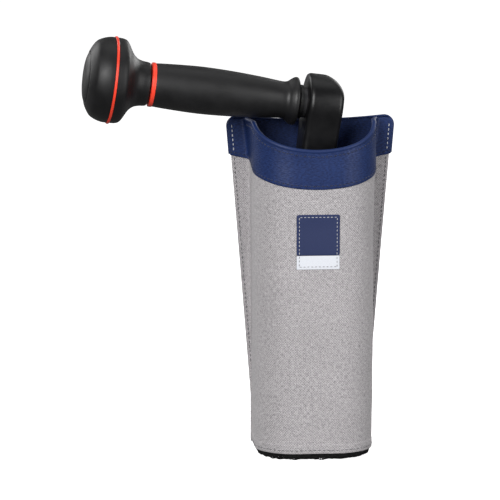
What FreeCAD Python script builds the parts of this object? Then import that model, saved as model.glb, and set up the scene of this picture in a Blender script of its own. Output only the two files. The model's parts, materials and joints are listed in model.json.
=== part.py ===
"""A winch handle standing in its drainable fabric bag.

The bag is a tapered flat back with a U-shaped pouch sewn to it, a vinyl collar, a mesh base and four
eyelets. The handle is a 10 inch lock-in handle with a free-turning grip and a free-turning palm knob.
Millimetres; X to the right, the pouch faces -Y, Z up. The origin is on the flat back, midway between
the four eyelets. The handle's own frame has X along the grip, Z up the arm, and its origin where the
grip axis meets the arm's inner face.
"""
import FreeCAD, Part
import Sketcher
import math
import os
from FreeCAD import Placement, Rotation, Vector

SIZES = {
    # bag outline, heights from the origin; the sides run straight below side_kink
    "bag_top": 130.0, "hem_level": -131.5, "side_kink": -92.0, "back_thickness": 1.6,
    "cloth_thickness": 1.2, "back_half_top": 65.6, "back_half_bottom": 47.6, "back_dip": 3.0,
    "corner_round": 8.0,
    # pouch section, measured to the inside of the cloth
    "pouch_half_top": 47.1, "pouch_half_bottom": 45.2, "pouch_depth": 57.8, "pouch_round": 31.0,
    # collar: its rim and its lower edge each lie on a sloping round surface
    "collar_height": 35.5, "collar_overhang": 1.3, "facing_thickness": 0.8, "lining_thickness": 0.8,
    "rim_radius": 72.8, "rim_slope": 0.03, "rim_drop": 2.0, "foot_radius": 107.0, "foot_slope": 0.10,
    "binding_height": 3.2, "binding_proud": 0.6,
    # hem, mesh base and label
    "hem_height": 7.0, "hem_thickness": 0.7, "mesh_drop": 4.8, "mesh_height": 7.0, "mesh_wall": 1.1,
    "mesh_floor": 1.4, "mesh_gap": 0.1, "label_width": 34.4, "label_upper": 32.4, "label_lower": 10.9,
    "label_top": 58.3, "label_thickness": 0.5,
    # eyelets
    "eyelet_bore": 4.0, "eyelet_flange": 7.5, "eyelet_lip": 0.7, "eyelet_half_x": 36.0,
    "eyelet_half_z": 60.0, "washer_outer": 8.2, "washer_thickness": 0.5,
    # where the handle stands in the bag
    "stand_x": -7.2, "stand_y": -27.0, "stand_z": 143.0, "handle_lean": 7.3, "handle_yaw": 3.0,
    # arm
    "arm_reach": 254.0, "arm_thick_top": 27.5, "arm_outer_low": 22.0, "arm_inner_low": 5.0,
    "eye_radius": 23.5, "boss_radius": 22.0, "waist_half": 15.5, "waist_run": 62.0, "join_angle": 25.0,
    "outer_round": 16.0, "inner_round": 1.8, "arm_edge": 3.0, "boss_bore": 10.0,
    # grip spindle and its fastenings
    "spindle_radius": 8.0, "running_fit": 0.05, "shoulder_radius": 12.0, "shoulder_end": 3.2,
    "thrust_end": 5.4, "thrust_radius": 13.5, "spindle_end": 160.0, "spindle_root": 20.0,
    "end_washer_thick": 1.5, "end_washer_radius": 10.4, "screw_radius": 3.0, "screw_depth": 14.0,
    "screw_head_radius": 6.0, "screw_head_height": 3.6, "screw_socket": 2.5,
    # grip
    "core_radius": 12.0, "core_bore": 10.2, "grip_start": 6.6, "lip_radius": 19.0, "lip_end": 9.6,
    "flare_end": 13.0, "flare_radius": 17.0, "throat_end": 18.0, "throat_radius": 14.6,
    "swell_start": 38.0, "swell_start_radius": 16.3, "swell_middle": 83.0, "swell_radius": 18.5,
    "grip_end": 120.0, "grip_end_radius": 16.9, "bush_length": 14.0, "neck_step": 0.6,
    "grip_ring_end": 123.4, "grip_ring_radius": 17.3, "grip_ring_bore": 12.0,
    # knob
    "knob_start": 124.4, "knob_neck_radius": 16.9, "knob_neck": 132.0, "knob_throat": 136.5,
    "knob_throat_radius": 20.2, "knob_flare": 141.0, "knob_flare_radius": 26.8, "knob_heel": 145.0,
    "knob_heel_radius": 32.2, "knob_seam": 152.0, "knob_seam_radius": 33.4, "knob_ring_end": 154.2,
    "knob_ring_radius": 34.0, "knob_ring_bore": 29.5, "knob_crown": 161.0,
    "knob_crown_radius": 32.7, "knob_shoulder": 168.0, "knob_shoulder_radius": 28.9,
    "knob_face": 172.6, "cap_radius": 20.6, "cap_seat": 170.4, "cap_gap": 0.05,
    "cap_middle_radius": 12.0, "cap_middle": 174.8, "cap_tip": 175.6, "knob_wall": 3.0,
    "bearing_length": 8.0, "end_float": 0.4,
    # drive head and lock
    "stud_across": 17.46, "stud_length": 36.0, "shaft_radius": 3.0, "plate_thick": 4.0,
    "plate_across": 17.2, "plate_gap": 0.4, "lever_gap": 0.4, "lever_thick": 4.2, "lever_hub": 12.0,
    "lever_length": 24.0, "lever_half": 6.5, "lever_edge": 1.0, "spring_inner": 3.6,
    "spring_outer": 9.2, "spring_turns": 2.5, "spring_strip": 0.6, "spring_width": 6.0,
    "spring_seat": 0.4, "spring_pocket": 11.0, "pocket_depth": 9.5, "plate_screw_radius": 4.6,
    "plate_screw_head": 2.6,
    # longer than any piece, for tools that cut right through
    "tool_length": 200.0,
}

doc = FreeCAD.newDocument("WinchHandleBag")
sheet = doc.addObject("Spreadsheet::Sheet", "Sizes")
for row, (alias, number) in enumerate(SIZES.items(), start=1):
    sheet.set(f"A{row}", alias)
    sheet.set(f"B{row}", str(number))
    sheet.setAlias(f"B{row}", alias)
doc.recompute()

nodes = []


def size(name):
    return float(sheet.get(name))


def total(*terms):
    """The sum of named sizes as an expression and as a number; a leading minus subtracts."""
    parts = [("- " if term[0] == "-" else "+ ") + "Sizes." + term.lstrip("-") for term in terms]
    number = sum(-size(term[1:]) if term[0] == "-" else size(term) for term in terms)
    return " ".join(parts), number


def minus(*terms):
    """The negative of total()."""
    expression, number = total(*terms)
    return f"-({expression})", -number


ZERO = ("0", 0.0)


def bind(thing, **properties):
    for name, expression in properties.items():
        thing.setExpression(name, expression)


def keep(thing, label, placement=None):
    """Name a finished sub-part and put it in its place."""
    thing.Label = label
    if placement is not None:
        thing.Placement = placement
    nodes.append(thing)
    return thing


# ---------------------------------------------------------------- sketches and bodies

def plane_of(body, role):
    return next(f for f in body.Origin.OriginFeatures if f.Role == role)


def pin(sketch, geometry, corner, across, up):
    """Hold one point of a sketch at its named distances from the sketch's origin."""
    for kind, axis, (expression, number) in (("DistanceX", -2, across), ("DistanceY", -1, up)):
        if abs(number) < 1e-9:
            sketch.addConstraint(Sketcher.Constraint("PointOnObject", geometry, corner, axis))
            continue
        held = sketch.addConstraint(Sketcher.Constraint(kind, -1, 1, geometry, corner, number))
        sketch.setExpression(f"Constraints[{held}]", expression)


def spot(across, up):
    return Vector(across[1], up[1], 0)


def outline(sketch, path):
    """Draw a closed outline. Each entry is (across, up), or (across, up, "via") for a point that the
    curve from the entry before to the entry after passes through."""
    corners = [entry for entry in path if len(entry) == 2]
    vias = {}
    for index, entry in enumerate(path):
        if len(entry) == 3:
            vias[path[index - 1]] = entry[:2]
    first = sketch.GeometryCount
    ends = []
    for index, corner in enumerate(corners):
        following = corners[(index + 1) % len(corners)]
        start, stop = spot(*corner), spot(*following)
        if corner in vias:
            via = spot(*vias[corner])
            anticlockwise = (via - start).cross(stop - via).z > 0
            arc = Part.Arc(start, via, stop) if anticlockwise else Part.Arc(stop, via, start)
            piece = sketch.addGeometry(arc)
            ends.append((piece, 1, 2) if anticlockwise else (piece, 2, 1))
        else:
            piece = sketch.addGeometry(Part.LineSegment(start, stop))
            ends.append((piece, 1, 2))
    for index, (piece, start, stop) in enumerate(ends):
        following = ends[(index + 1) % len(ends)]
        sketch.addConstraint(Sketcher.Constraint("Coincident", piece, stop, following[0], following[1]))
        pin(sketch, piece, start, *corners[index])
    for corner, via in vias.items():
        mark = sketch.addGeometry(Part.Point(spot(*via)), True)
        pin(sketch, mark, 1, *via)
        arc = first + corners.index(corner)
        sketch.addConstraint(Sketcher.Constraint("PointOnObject", mark, 1, arc))


def sketched(body, role, *paths):
    sketch = body.newObject("Sketcher::SketchObject", body.Name + "Sketch")
    sketch.AttachmentSupport = [(plane_of(body, role), "")]
    sketch.MapMode = "FlatFace"
    for path in paths:
        outline(sketch, path)
    return sketch


def turned(name, *paths):
    """A body turned about its own X axis from outlines of (station, radius)."""
    body = doc.addObject("PartDesign::Body", name.title().replace("_", ""))
    turning = body.newObject("PartDesign::Revolution", body.Name + "Turn")
    turning.Profile = sketched(body, "XZ_Plane", *paths)
    turning.ReferenceAxis = (plane_of(body, "X_Axis"), [""])
    turning.Angle = 360
    return body


def tube(start, stop, inner, outer):
    """The outline of a plain tube from one station to another; each is a total()."""
    return [(start, inner), (stop, inner), (stop, outer), (start, outer)]


def box_path(low, high, bottom, top):
    return [(low, bottom), (high, bottom), (high, top), (low, top)]


def padded(name, role, length, offset, *paths):
    """A body padded from outlines; the pad starts at `offset` along the plane's normal."""
    body = doc.addObject("PartDesign::Body", name.title().replace("_", ""))
    sketch = sketched(body, role, *paths)
    sketch.setExpression("AttachmentOffset.Base.z", offset[0])
    pad = body.newObject("PartDesign::Pad", body.Name + "Pad")
    pad.Profile = sketch
    pad.setExpression("Length", length[0])
    return body


def cylinder(name, radius, length, place):
    made = doc.addObject("Part::Cylinder", name)
    bind(made, Radius=radius[0], Height=length[0])
    made.Placement = place
    return made


def cut(name, base, tool):
    made = doc.addObject("Part::Cut", name)
    made.Base, made.Tool = base, tool
    return made


def fuse(name, *shapes):
    made = doc.addObject("Part::MultiFuse", name)
    made.Shapes = list(shapes)
    return made


# ---------------------------------------------------------------- the bag's cloth

def formed(name, shape):
    """A sewn piece whose shape is formed from the sheet's sizes."""
    made = doc.addObject("Part::Feature", name.title().replace("_", ""))
    made.Shape = shape
    return keep(made, name)


def pouch_half(height):
    """Half the pouch's width at one height, to the inside of the cloth."""
    part = (height - size("hem_level")) / (size("bag_top") - size("hem_level"))
    return size("pouch_half_bottom") + part * (size("pouch_half_top") - size("pouch_half_bottom"))


def back_half(height):
    """Half the flat back's width at one height: even at the foot, then wider towards the top."""
    part = max(0.0, (height - size("side_kink")) / (size("bag_top") - size("side_kink")))
    return size("back_half_bottom") + part * (size("back_half_top") - size("back_half_bottom"))


def levels(low, high):
    """The heights where a piece's sides start, turn and stop."""
    return [low] + [size("side_kink")] * (low < size("side_kink") < high) + [high]


def loop(points, height):
    """A closed wire at one height; a point marked with a third value is passed by an arc."""
    edges, index, count = [], 0, len(points)
    spots = [Vector(point[0], point[1], height) for point in points]
    while index < count:
        if len(points[(index + 1) % count]) == 3:
            edges.append(Part.Arc(spots[index], spots[index + 1], spots[(index + 2) % count]).toShape())
            index += 2
        else:
            edges.append(Part.LineSegment(spots[index], spots[(index + 1) % count]).toShape())
            index += 1
    return Part.Wire(edges)


def pouch_line(height, offset):
    """Half the pouch's section at one offset outside the cloth's inner face, wall to front."""
    half = pouch_half(height)
    turn = size("pouch_round") + offset
    middle_x, middle_y = half - size("pouch_round"), -(size("pouch_depth") - size("pouch_round"))
    slant = math.sqrt(0.5) * turn
    return [(middle_x + turn, middle_y), (middle_x + slant, middle_y - slant, "arc"),
            (middle_x, middle_y - turn)]


def mirrored(points):
    return [(-point[0],) + tuple(point[1:]) for point in points]


def pouch_band(low, high, inner, outer, overhang=0.0):
    """A layer of cloth on the pouch between two heights, with its flanges on the flat back."""
    wires = []
    for height in levels(low, high):
        edge, seat = back_half(height) + overhang, -size("back_thickness")
        outside, inside = pouch_line(height, outer), pouch_line(height, inner)
        start = [(edge, seat - inner), (edge, seat - outer), (outside[0][0], seat - outer)]
        stop = [(inside[0][0], seat - inner)]
        right = start + outside
        left = list(reversed(mirrored(outside))) + list(reversed(mirrored(start)))
        back = mirrored(stop) + mirrored(inside) + list(reversed(inside)) + stop
        wires.append(loop(right + left + back, height))
    return Part.makeLoft(wires, True, True)


def pouch_strip(low, high, inner, outer, foot):
    """A layer of cloth on the pouch alone, which stops `foot` in front of the flat back."""
    wires = []
    for height in (low, high):
        seat = -size("back_thickness") - foot
        outside, inside = pouch_line(height, outer), pouch_line(height, inner)
        right = [(outside[0][0], seat)] + outside
        left = list(reversed(mirrored(right)))
        back = [(-inside[0][0], seat)] + mirrored(inside) + list(reversed(inside)) + [(inside[0][0], seat)]
        wires.append(loop(right + left + back, height))
    return Part.makeLoft(wires, True, True)


def above(kind, drop):
    """A tool that holds all above the collar's round `kind` of edge, `drop` below the bag's top."""
    radius, slope, through = size(kind + "_radius"), size(kind + "_slope"), size("tool_length")
    sag = math.sqrt(radius**2 - size("pouch_half_top")**2)
    direction = Vector(0, 1, slope)
    middle = Vector(0, 0, size("bag_top") - drop + sag)
    round_part = Part.makeCylinder(radius, through, middle - direction * (through / 2), direction)
    upper = Part.makeBox(2 * radius, through, radius, Vector(-radius, -through / 2, middle.z))
    return round_part.fuse(upper)


def chain(points):
    return [Part.LineSegment(a, b).toShape() for a, b in zip(points, points[1:])]


def side_line(low, high, spare):
    """The right side of the flat back between two heights, `spare` outside its true edge."""
    return [Vector(back_half(height) + spare, 0, height) for height in levels(low, high)]


def across(points):
    """The same points on the left side, in the opposite order."""
    return [Vector(-v.x, v.y, v.z) for v in reversed(points)]


def square_topped(low, high, thick):
    """The flat back between two heights."""
    side = side_line(low, high, 0.0)
    corners = side + across(side)
    return Part.Face(Part.Wire(chain(corners + corners[:1]))).extrude(Vector(0, -thick, 0))


def round_topped(low, thick, spare):
    """The flat back from a height up to its top edge, which dips between two rounded corners."""
    top, dip, turn = size("bag_top"), size("back_dip"), size("corner_round")
    wide, bend = back_half(top) + spare, turn * (1 - math.sqrt(0.5))
    side = side_line(low, top - turn, spare)
    corner = [side[-1], Vector(wide - bend, 0, top - bend), Vector(wide - turn, 0, top)]
    other = across(corner)
    edges = chain(side) + chain(across(side)) + chain([Vector(-side[0].x, 0, low), side[0]])
    edges += [Part.Arc(*corner).toShape(), Part.Arc(*other).toShape(),
              Part.Arc(corner[2], Vector(0, 0, top - dip), other[0]).toShape()]
    return Part.Face(Part.Wire(Part.__sortEdges__(edges))).extrude(Vector(0, -thick, 0))


def base_outline(height, inset):
    """The D-shaped outline of the mesh base, inside the pouch and against the back."""
    seat = -size("back_thickness") - inset
    front = pouch_line(height, -inset)
    return [(front[0][0], seat)] + front + list(reversed(mirrored(front))) + [(-front[0][0], seat)]


def base_solid(low, high, inset):
    middle = size("hem_level")
    return Part.Face(loop(base_outline(middle, inset), low)).extrude(Vector(0, 0, high - low))


hem, top = size("hem_level"), size("bag_top")
cloth, facing = size("cloth_thickness"), size("facing_thickness")
collar_low = top - size("collar_height")
band_low = collar_low - size("collar_height")
above_rim = above("rim", size("rim_drop"))
above_foot = above("foot", size("collar_height"))
hole_places = [(x * size("eyelet_half_x"), z * size("eyelet_half_z")) for z in (-1, 1) for x in (-1, 1)]


def drilled(shape):
    """The back with the four holes and shallow seats that the eyelets are set in."""
    inward, through = Vector(0, -1, 0), size("tool_length")
    for x, z in hole_places:
        hole_start = Vector(x, through / 2, z)
        hole = Part.makeCylinder(size("eyelet_bore") + size("eyelet_lip"), through, hole_start, inward)
        seat = Part.makeCylinder(size("eyelet_flange"), size("eyelet_lip"), Vector(x, 0, z), inward)
        shape = shape.cut(hole).cut(seat)
    return shape


formed("back_panel", drilled(square_topped(hem, collar_low, size("back_thickness"))))
overhang = size("collar_overhang")
formed("back_collar", round_topped(collar_low, size("back_thickness"), overhang))
rounded = round_topped(hem, 2 * size("pouch_depth"), overhang)
formed("front_panel", pouch_band(hem, top, 0.0, cloth).cut(above_rim).common(rounded))
band = pouch_band(band_low, top, cloth, cloth + facing, overhang)
formed("front_collar", band.common(above_foot).cut(above_rim).common(rounded))
lining = pouch_strip(band_low, top, -size("lining_thickness"), 0.0, 0.0)
formed("front_lining", lining.common(above_foot).cut(above_rim))
binding = pouch_strip(band_low, top, cloth + facing, cloth + facing + size("binding_proud"), cloth + facing)
above_binding = above("rim", size("rim_drop") + size("binding_height"))
formed("rim_binding", binding.common(above_binding).cut(above_rim))
formed("bottom_hem", pouch_band(hem, hem + size("hem_height"), cloth, cloth + size("hem_thickness")))

mesh_low, gap = hem - size("mesh_drop"), size("mesh_gap")
tray = base_solid(mesh_low, mesh_low + size("mesh_height"), gap)
hollow = base_solid(mesh_low + size("mesh_floor"), mesh_low + 2 * size("mesh_height"),
                    gap + size("mesh_wall"))
formed("mesh_base", tray.cut(hollow))


# ---------------------------------------------------------------- label and eyelets

def label_patch(name, height, drop):
    patch = doc.addObject("Part::Box", name.title().replace("_", ""))
    bind(patch, Length="Sizes.label_width", Width="Sizes.label_thickness", Height=f"Sizes.{height}")
    front = -(size("pouch_depth") + cloth)
    corner = Vector(-size("label_width") / 2, front - size("label_thickness"), size("label_top") - drop)
    keep(patch, name, Placement(corner, Rotation()))


label_patch("label_patch_upper", "label_upper", size("label_upper"))
label_patch("label_patch_lower", "label_lower", size("label_upper") + size("label_lower"))


def set_of(name, shapes):
    """Like fasteners that share one node, each a solid of its own."""
    made = doc.addObject("Part::Compound", name.title().replace("_", ""))
    made.Links = shapes
    keep(made, name)


TO_FRONT = Rotation(Vector(1, 0, 0), 90)
barrel_long = total("back_thickness", "washer_thickness")
eyelets, washers = [], []
for index, (x, z) in enumerate(hole_places):
    place = Placement(Vector(x, 0, z), TO_FRONT)
    flange = cylinder(f"EyeletFlange{index}", total("eyelet_flange"), total("eyelet_lip"), place)
    barrel = cylinder(f"EyeletBarrel{index}", total("eyelet_bore", "eyelet_lip"), barrel_long, place)
    bore = cylinder(f"EyeletBore{index}", total("eyelet_bore"), total("collar_height"), place)
    eyelets.append(cut(f"Eyelet{index}", fuse(f"EyeletBlank{index}", flange, barrel), bore))
    seat = Placement(Vector(x, -size("back_thickness"), z), TO_FRONT)
    disc = cylinder(f"WasherDisc{index}", total("washer_outer"), total("washer_thickness"), seat)
    hole = cylinder(f"WasherHole{index}", total("eyelet_bore", "eyelet_lip"), total("collar_height"), seat)
    washers.append(cut(f"Washer{index}", disc, hole))
set_of("fixing_eyelets", eyelets)
set_of("eyelet_washers", washers)


# ---------------------------------------------------------------- the handle's frame

stand = Vector(size("stand_x"), size("stand_y"), size("stand_z"))
turn = Rotation(Vector(0, 1, 0), size("handle_lean")).multiply(
    Rotation(Vector(0, 0, 1), 180 + size("handle_yaw")))
HANDLE = Placement(stand, turn)
DRIVE = HANDLE.multiply(Placement(Vector(0, 0, -size("arm_reach")), Rotation()))


def handle_part(body, name):
    return keep(body, name, HANDLE)


def drive_part(body, name):
    return keep(body, name, DRIVE)


# ---------------------------------------------------------------- arm

def on_circle(radius, angle, height):
    """A point on a circle in the arm's face plane, `angle` degrees up from its right-hand end."""
    slant = math.radians(angle)
    return Vector(0, radius * math.cos(slant), height + radius * math.sin(slant))


def arm_face():
    """The arm seen along the grip: an eye and a boss joined by a waisted bar."""
    reach, eye, boss = size("arm_reach"), size("eye_radius"), size("boss_radius")
    waist, run, angle = size("waist_half"), size("waist_run"), size("join_angle")
    right = [on_circle(eye, -angle, 0), Vector(0, waist, -run), Vector(0, waist, run - reach),
             on_circle(boss, angle, -reach)]
    left = [Vector(0, -v.y, v.z) for v in right]
    edges = [Part.Arc(left[0], Vector(0, 0, eye), right[0]).toShape(),
             Part.Arc(right[-1], Vector(0, 0, -reach - boss), left[-1]).toShape()]
    for side in (right, left):
        curve = Part.BSplineCurve()
        curve.interpolate(side)
        edges.append(curve.toShape())
    return Part.Face(Part.Wire(Part.__sortEdges__(edges)))


def arm_side():
    """The arm seen across the grip: straight at the eye, then tapered and cranked to the boss."""
    high, low = size("eye_radius"), -size("arm_reach") - size("boss_radius")
    thick, run, boss_top = size("arm_thick_top"), size("waist_run"), low + 2 * size("boss_radius")
    inner_low, outer_low = size("arm_inner_low"), size("arm_outer_low")
    inner, outer = size("inner_round"), size("outer_round")
    bend = 1 - math.sqrt(0.5)
    across_arm = -size("eye_radius")

    def corner(x, z):
        return Vector(x, across_arm, z)

    edges = chain([corner(0, high - inner), corner(0, -run), corner(-inner_low, boss_top),
                   corner(-inner_low, low), corner(-outer_low, low), corner(-outer_low, boss_top),
                   corner(-thick, -run), corner(-thick, high - outer)])
    edges.append(Part.Arc(corner(-thick, high - outer), corner(-thick + outer * bend, high - outer * bend),
                          corner(-thick + outer, high)).toShape())
    edges += chain([corner(-thick + outer, high), corner(-inner, high)])
    edges.append(Part.Arc(corner(-inner, high), corner(-inner * bend, high - inner * bend),
                          corner(0, high - inner)).toShape())
    return Part.Face(Part.Wire(edges))


def arm():
    """The forged arm, with the spindle's hole, the boss's bore and the lock spring's pocket."""
    bar = arm_face().extrude(Vector(-size("arm_thick_top"), 0, 0))
    blank = bar.common(arm_side().extrude(Vector(0, 2 * size("eye_radius"), 0))).Solids[0]
    long_edges = [edge for edge in blank.Edges if edge.Length > 2 * size("waist_run")]
    blank = blank.makeFillet(size("arm_edge"), long_edges)
    along, through = Vector(1, 0, 0), size("tool_length")
    reach = Vector(0, 0, -size("arm_reach"))
    pocket_start = reach - along * (size("arm_inner_low") + size("pocket_depth"))
    for radius, start in ((size("spindle_radius"), along * -size("spindle_root")),
                          (size("boss_bore"), reach - along * (through / 2)),
                          (size("spring_pocket"), pocket_start)):
        blank = blank.cut(Part.makeCylinder(radius, through, start, along))
    return blank


arm_node = doc.addObject("Part::Feature", "Arm")
arm_node.Shape = arm()
handle_part(arm_node, "arm")


# ---------------------------------------------------------------- spindle, grip and knob

spindle_screw_end = total("spindle_end", "-screw_depth")
handle_part(turned("spindle", [
    (minus("spindle_root"), ZERO), (minus("spindle_root"), total("spindle_radius")),
    (ZERO, total("spindle_radius")), (ZERO, total("shoulder_radius")),
    (total("shoulder_end"), total("shoulder_radius")), (total("shoulder_end"), total("spindle_radius")),
    (total("spindle_end"), total("spindle_radius")), (total("spindle_end"), total("screw_radius")),
    (spindle_screw_end, total("screw_radius")), (spindle_screw_end, ZERO)]), "spindle")
running = total("spindle_radius", "running_fit")
handle_part(turned("thrust_washer", tube(total("shoulder_end"), total("thrust_end"), running,
                                         total("thrust_radius"))), "thrust_washer")
washer_end = total("spindle_end", "end_washer_thick")
handle_part(turned("spindle_washer", tube(total("spindle_end"), washer_end, total("screw_radius"),
                                          total("end_washer_radius"))), "spindle_washer")
head_end = total("spindle_end", "end_washer_thick", "screw_head_height")
handle_part(turned("spindle_screw", [
    (spindle_screw_end, ZERO), (spindle_screw_end, total("screw_radius")),
    (washer_end, total("screw_radius")), (washer_end, total("screw_head_radius")),
    (head_end, total("screw_head_radius")), (head_end, total("screw_socket")),
    (washer_end, total("screw_socket")), (washer_end, ZERO)]), "spindle_screw")

# the grip turns on two bushes: a rubber sleeve on a stiff core, closed by a ring
grip_core_end = total("grip_end")
handle_part(turned("grip_core", tube(total("grip_start"), grip_core_end, total("core_bore"),
                                     total("core_radius"))), "grip_core")
lower_bush_end = total("grip_start", "bush_length")
upper_bush_start = total("grip_end", "-bush_length")
handle_part(turned("grip_bushes",
                   tube(total("grip_start"), lower_bush_end, running, total("core_bore")),
                   tube(upper_bush_start, grip_core_end, running, total("core_bore"))), "grip_bushes")
handle_part(turned("grip_sleeve", [
    (total("grip_start"), total("core_radius")), (total("grip_start"), total("lip_radius")),
    (total("lip_end"), total("lip_radius")), (total("flare_end"), total("flare_radius")),
    (total("throat_end"), total("throat_radius")),
    (total("swell_start"), total("swell_start_radius")),
    (total("swell_middle"), total("swell_radius"), "via"),
    (total("grip_end"), total("grip_end_radius")),
    (total("grip_end"), total("core_radius"))]), "grip_sleeve")
handle_part(turned("grip_ring", tube(total("grip_end"), total("grip_ring_end"),
                                     total("grip_ring_bore"), total("grip_ring_radius"))), "grip_ring")

# the knob turns by itself on two bearings: two shells with a ring between them and a palm cap
knob_bore = total("core_bore")
knob_core_end = total("spindle_end", "-end_float")
handle_part(turned("knob_core", tube(total("knob_start"), knob_core_end, knob_bore,
                                     total("core_radius"))), "knob_core")
first_bearing_end = total("knob_start", "bearing_length")
last_bearing_start = total("spindle_end", "-end_float", "-bearing_length")
handle_part(turned("knob_bearings",
                   tube(total("knob_start"), first_bearing_end, running, knob_bore),
                   tube(last_bearing_start, knob_core_end, running, knob_bore)), "knob_bearings")
handle_part(turned("knob_rear_shell", [
    (total("knob_start"), total("core_radius")), (total("knob_start"), total("knob_neck_radius")),
    (total("knob_neck"), total("knob_neck_radius", "neck_step")),
    (total("knob_throat"), total("knob_throat_radius")),
    (total("knob_flare"), total("knob_flare_radius")),
    (total("knob_heel"), total("knob_heel_radius")),
    (total("knob_seam"), total("knob_seam_radius")),
    (total("knob_seam"), total("knob_seam_radius", "-knob_wall")),
    (total("knob_heel", "knob_wall"), total("knob_heel_radius", "-knob_wall")),
    (total("knob_flare", "knob_wall"), total("knob_flare_radius", "-knob_wall")),
    (total("knob_throat", "knob_wall"), total("knob_throat_radius", "-knob_wall")),
    (total("knob_throat", "knob_wall"), total("core_radius"))]), "knob_rear_shell")
handle_part(turned("knob_ring", tube(total("knob_seam"), total("knob_ring_end"),
                                     total("knob_ring_bore"), total("knob_ring_radius"))), "knob_ring")
handle_part(turned("knob_front_shell", [
    (total("knob_ring_end"), total("knob_ring_bore")), (total("knob_ring_end"), total("knob_ring_radius")),
    (total("knob_crown"), total("knob_crown_radius"), "via"),
    (total("knob_shoulder"), total("knob_shoulder_radius")),
    (total("knob_face"), total("cap_radius")),
    (total("cap_seat"), total("cap_radius")), (total("cap_seat"), total("end_washer_radius")),
    (total("knob_shoulder", "-knob_wall"), total("end_washer_radius")),
    (total("knob_shoulder", "-knob_wall"), total("knob_shoulder_radius", "-knob_wall"))]),
    "knob_front_shell")
handle_part(turned("knob_palm_cap", [
    (total("cap_seat"), ZERO), (total("cap_seat"), total("cap_radius", "-cap_gap")),
    (total("knob_face"), total("cap_radius", "-cap_gap")),
    (total("cap_middle"), total("cap_middle_radius"), "via"), (total("cap_tip"), ZERO)]),
    "knob_palm_cap")


# ---------------------------------------------------------------- drive head and lock

def square_bar(name, across, length, start, bore):
    """A square bar along X from `start`, pointing away from the grip, with a round hole through it."""
    half, other = total(across)[1] / 2, f"Sizes.{across} / 2"
    near, far = (f"-({other})", -half), (other, half)
    body = padded(name, "YZ_Plane", length, start, box_path(near, far, near, far))
    hole = sketched(body, "YZ_Plane")
    circle = hole.addGeometry(Part.Circle(Vector(0, 0, 0), Vector(0, 0, 1), bore[1]))
    hole.addConstraint(Sketcher.Constraint("Coincident", circle, 3, -1, 1))
    held = hole.addConstraint(Sketcher.Constraint("Radius", circle, bore[1]))
    hole.setExpression(f"Constraints[{held}]", bore[0])
    pocket = body.newObject("PartDesign::Pocket", body.Name + "Bore")
    pocket.Profile = hole
    pocket.Type, pocket.Midplane = "ThroughAll", True
    return body


shaft_fit = total("shaft_radius", "running_fit")
stud_tip = minus("arm_outer_low", "stud_length")
stud = square_bar("drive_stud", "stud_across", total("stud_length"), stud_tip, shaft_fit)
collar_low_x = minus("arm_outer_low")
collar_high_x = minus("arm_inner_low", "pocket_depth")
stud_collar = turned("stud_collar", tube(collar_low_x, collar_high_x, shaft_fit, total("boss_bore")))
drive_part(fuse("DriveHead", stud, stud_collar), "drive_head")

plate_end = minus("arm_outer_low", "stud_length", "plate_gap")
plate_tip = minus("arm_outer_low", "stud_length", "plate_gap", "plate_thick")
drive_part(square_bar("lock_plate", "plate_across", total("plate_thick"), plate_tip,
                      total("shaft_radius")), "lock_plate")
lever_low = ("Sizes.lever_gap - Sizes.arm_inner_low", size("lever_gap") - size("arm_inner_low"))
lever_high = ("Sizes.lever_gap + Sizes.lever_thick - Sizes.arm_inner_low",
              size("lever_gap") + size("lever_thick") - size("arm_inner_low"))
drive_part(turned("lock_shaft", [(plate_tip, ZERO), (plate_tip, total("shaft_radius")),
                                 (lever_high, total("shaft_radius")), (lever_high, ZERO)]), "lock_shaft")

head_top = minus("arm_outer_low", "stud_length", "plate_gap", "plate_thick", "plate_screw_head")
drive_part(turned("lock_plate_screw", [
    (head_top, ZERO), (head_top, total("plate_screw_radius")),
    (plate_tip, total("plate_screw_radius")), (plate_tip, ZERO)]), "lock_plate_screw")


def lever():
    """The thumb lever: a round hub on the shaft with a tab up the inner face of the arm."""
    thick, low, high = size("lever_thick"), lever_low[1], lever_high[1]
    half, reach, along = size("lever_half"), size("lever_length"), Vector(1, 0, 0)
    hub = Part.makeCylinder(size("lever_hub"), thick, Vector(low, 0, 0), along)
    tab = Part.makeBox(thick, 2 * half, reach, Vector(low, -half, 0))
    tip = Part.makeCylinder(half, thick, Vector(low, 0, reach), along)
    blank = hub.fuse(tab).fuse(tip).removeSplitter()
    outer = [edge for edge in blank.Edges if edge.BoundBox.XMin > high - size("lever_edge")]
    bore = Part.makeCylinder(size("shaft_radius"), 2 * thick, Vector(low - thick / 2, 0, 0), along)
    return blank.makeFillet(size("lever_edge"), outer).cut(bore)


lever_node = doc.addObject("Part::Feature", "LockLever")
lever_node.Shape = lever()
drive_part(lever_node, "lock_lever")


def spring():
    """The flat spiral spring round the shaft, in the pocket behind the lever."""
    first, last, strip = size("spring_inner"), size("spring_outer"), size("spring_strip")
    low = size("spring_seat") - size("arm_inner_low") - size("pocket_depth")
    points_a_turn = 8
    count = int(size("spring_turns") * points_a_turn)

    def spiral(extra):
        points = []
        for step in range(count + 1):
            angle = 2 * math.pi * step / points_a_turn
            radius = first + extra + (last - first) * step / count
            points.append(Vector(low, radius * math.cos(angle), radius * math.sin(angle)))
        curve = Part.BSplineCurve()
        curve.interpolate(points)
        return curve.toShape()

    inside, outside = spiral(0.0), spiral(strip)
    ends = [Part.LineSegment(inside.Vertexes[n].Point, outside.Vertexes[n].Point).toShape() for n in (0, 1)]
    face = Part.Face(Part.Wire(Part.__sortEdges__([inside, outside] + ends)))
    return face.extrude(Vector(size("spring_width"), 0, 0))


spring_node = doc.addObject("Part::Feature", "LockSpring")
spring_node.Shape = spring()
drive_part(spring_node, "lock_spring")


# ---------------------------------------------------------------- check and write

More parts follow.
